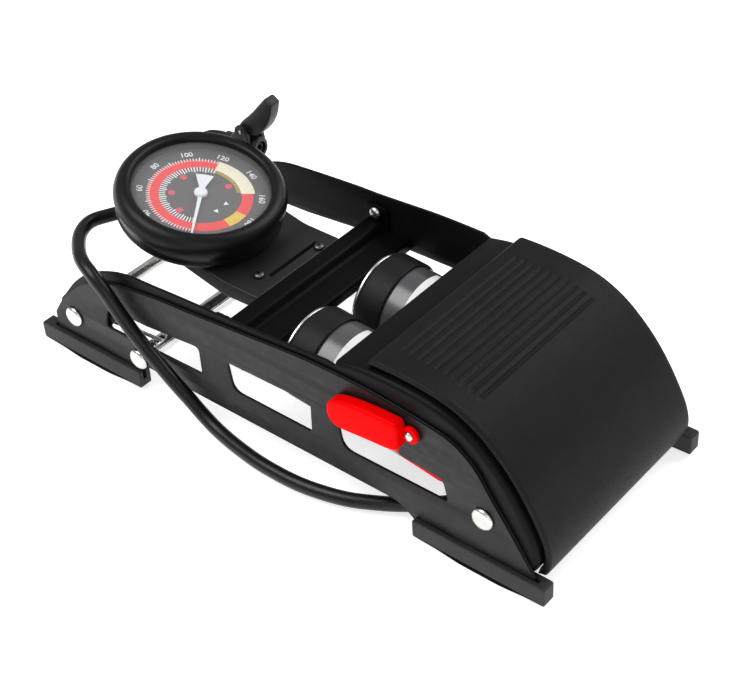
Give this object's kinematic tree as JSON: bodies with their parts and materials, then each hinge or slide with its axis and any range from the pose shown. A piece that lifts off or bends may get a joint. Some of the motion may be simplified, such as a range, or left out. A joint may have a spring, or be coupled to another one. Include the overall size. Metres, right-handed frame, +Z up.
{
  "type": "foot air pump",
  "caption": "Twin-barrel foot air pump, folded and latched: pressed steel frame, ribbed foot pedal, booted pressure gauge, air hose with lever chuck, red latch.",
  "frame": {"origin": "floor plane, at the middle of the bounding box: halfway between the tips of the feet and halfway across the whole width, hose included", "axes": "+X from the hinge and gauge end to the pedal end, +Y from the hose side to the far side, +Z up"},
  "size_m": [0.3, 0.1306, 0.1054],
  "materials": {
    "painted_steel": "satin black powder coat",
    "bright_steel": "zinc plated",
    "chrome": "polished",
    "aluminium": "turned",
    "barrel_paint": "dark grey gloss with a white band",
    "black_plastic": "moulded black",
    "foot_plastic": "moulded dark grey",
    "pedal_rubber": "matte black with grip grooves",
    "black_rubber": "black",
    "red_plastic": "bright red",
    "brass": "turned",
    "dial_face": "printed scale",
    "needle_white": "white",
    "lens": "clear"
  },
  "bodies": {
    "base": {"side_plate_near": "painted_steel", "side_plate_far": "painted_steel", "hinge_rod": "bright_steel", "lower_rod": "bright_steel", "spacer_sleeve": "chrome", "barrel_axle": "bright_steel", "foot_hinge_near": "foot_plastic", "foot_hinge_far": "foot_plastic", "foot_pedal_near": "foot_plastic", "foot_pedal_far": "foot_plastic", "return_spring_near": "bright_steel", "return_spring_far": "bright_steel", "air_hose": "black_rubber", "gauge_tube": "black_rubber", "latch_rivet": "bright_steel"},
    "arm": {"pedal_arm": "painted_steel", "pedal_cover": "pedal_rubber", "crossbar": "painted_steel", "crossbar_rivet_near": "bright_steel", "crossbar_rivet_far": "bright_steel", "hinge_bush_near": "black_plastic", "hinge_bush_far": "black_plastic", "gauge_bracket": "black_plastic", "bracket_screw_near": "bright_steel", "bracket_screw_far": "bright_steel", "gauge_case": "painted_steel", "gauge_boot": "black_rubber", "gauge_dial": "dial_face", "gauge_lens": "lens", "gauge_stem": "brass", "bourdon_tube": "brass", "chuck_body": "black_plastic", "chuck_pin": "bright_steel", "chuck_seal": "black_rubber"},
    "barrels": {"barrel_near": "barrel_paint", "barrel_far": "barrel_paint", "head_cap_near": "black_plastic", "head_cap_far": "black_plastic", "gland_ring_near": "aluminium", "gland_ring_far": "aluminium", "rear_cap_near": "black_plastic", "rear_cap_far": "black_plastic", "valve_disc_near": "black_rubber", "valve_disc_far": "black_rubber", "manifold": "black_plastic"},
    "pistons": {"piston_rod_near": "chrome", "piston_rod_far": "chrome", "piston_near": "black_plastic", "piston_far": "black_plastic", "piston_seal_near": "black_rubber", "piston_seal_far": "black_rubber", "piston_axle": "bright_steel"},
    "latch": {"latch_lever": "red_plastic"},
    "needle": {"gauge_needle": "needle_white"},
    "chuck_thumb_lever": {"chuck_lever": "black_plastic"}
  },
  "joints": [
    {"name": "arm_fold", "type": "hinge", "parent": "base", "child": "arm", "pos_m": [-0.126, 0.0055, 0.0238], "axis": [0, -1, 0], "range_deg": [0, 50], "deforming": ["return_spring_near", "return_spring_far", "air_hose", "gauge_tube"]},
    {"name": "barrel_tilt", "type": "hinge", "parent": "base", "child": "barrels", "pos_m": [0.118, 0.0055, 0.0315], "axis": [0, 1, 0], "range_deg": [0, 20.2]},
    {"name": "piston_slide", "type": "slide", "parent": "barrels", "child": "pistons", "axis": [-0.9966, 0, 0.0821], "range_m": [0, 0.0722]},
    {"name": "latch_turn", "type": "hinge", "parent": "base", "child": "latch", "pos_m": [0.083, -0.0517, 0.0594], "axis": [0, -1, 0], "range_deg": [0, 16]},
    {"name": "needle_turn", "type": "hinge", "parent": "arm", "child": "needle", "pos_m": [-0.0886, 0.0055, 0.0769], "axis": [-0.2164, 0, -0.9763], "range_deg": [0, 272]},
    {"name": "chuck_lever_flip", "type": "hinge", "parent": "arm", "child": "chuck_thumb_lever", "pos_m": [-0.104, 0.0561, 0.083], "axis": [0, -1, 0], "range_deg": [0, 80]}
  ],
  "couplings": [
    {"joint": "barrel_tilt", "follows": "arm_fold", "ratio": 0.40097},
    {"joint": "piston_slide", "follows": "arm_fold", "m_per_rad": 0.082196}
  ]
}
